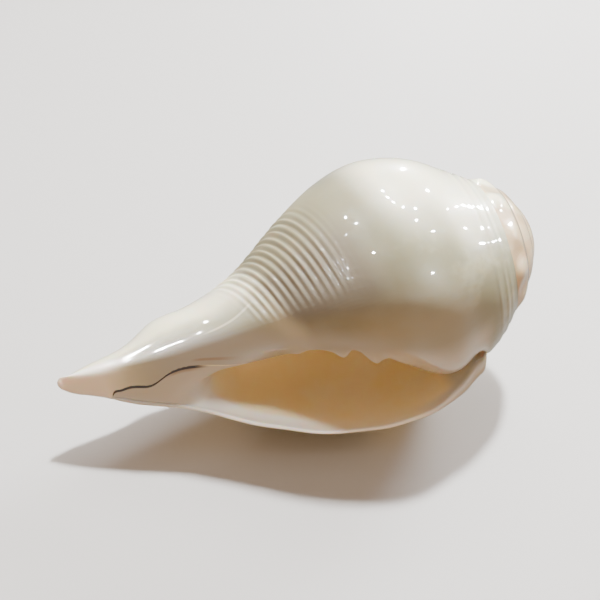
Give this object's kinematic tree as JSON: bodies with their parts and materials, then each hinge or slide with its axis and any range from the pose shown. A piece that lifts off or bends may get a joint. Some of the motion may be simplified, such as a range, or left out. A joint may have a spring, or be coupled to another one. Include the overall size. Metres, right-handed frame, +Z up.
{
  "type": "conch shell",
  "caption": "Glossy white conch shell lying on its side, with a tapering siphonal canal, a ridged neck, a round body whorl, a low spire and an open orange mouth.",
  "frame": {"origin": "middle of the bounding box, on the surface that the shell lies on", "axes": "+X from the canal's tip towards the apex, along the shell's length seen from above; -Y the side that the mouth opens to; +Z up"},
  "size_m": [0.149, 0.073, 0.0815],
  "materials": {
    "shell": "polished, pearly white shell that turns peach on the spire and apricot orange inside the mouth"
  },
  "bodies": {
    "root": {"conch_shell": "shell"}
  },
  "joints": []
}
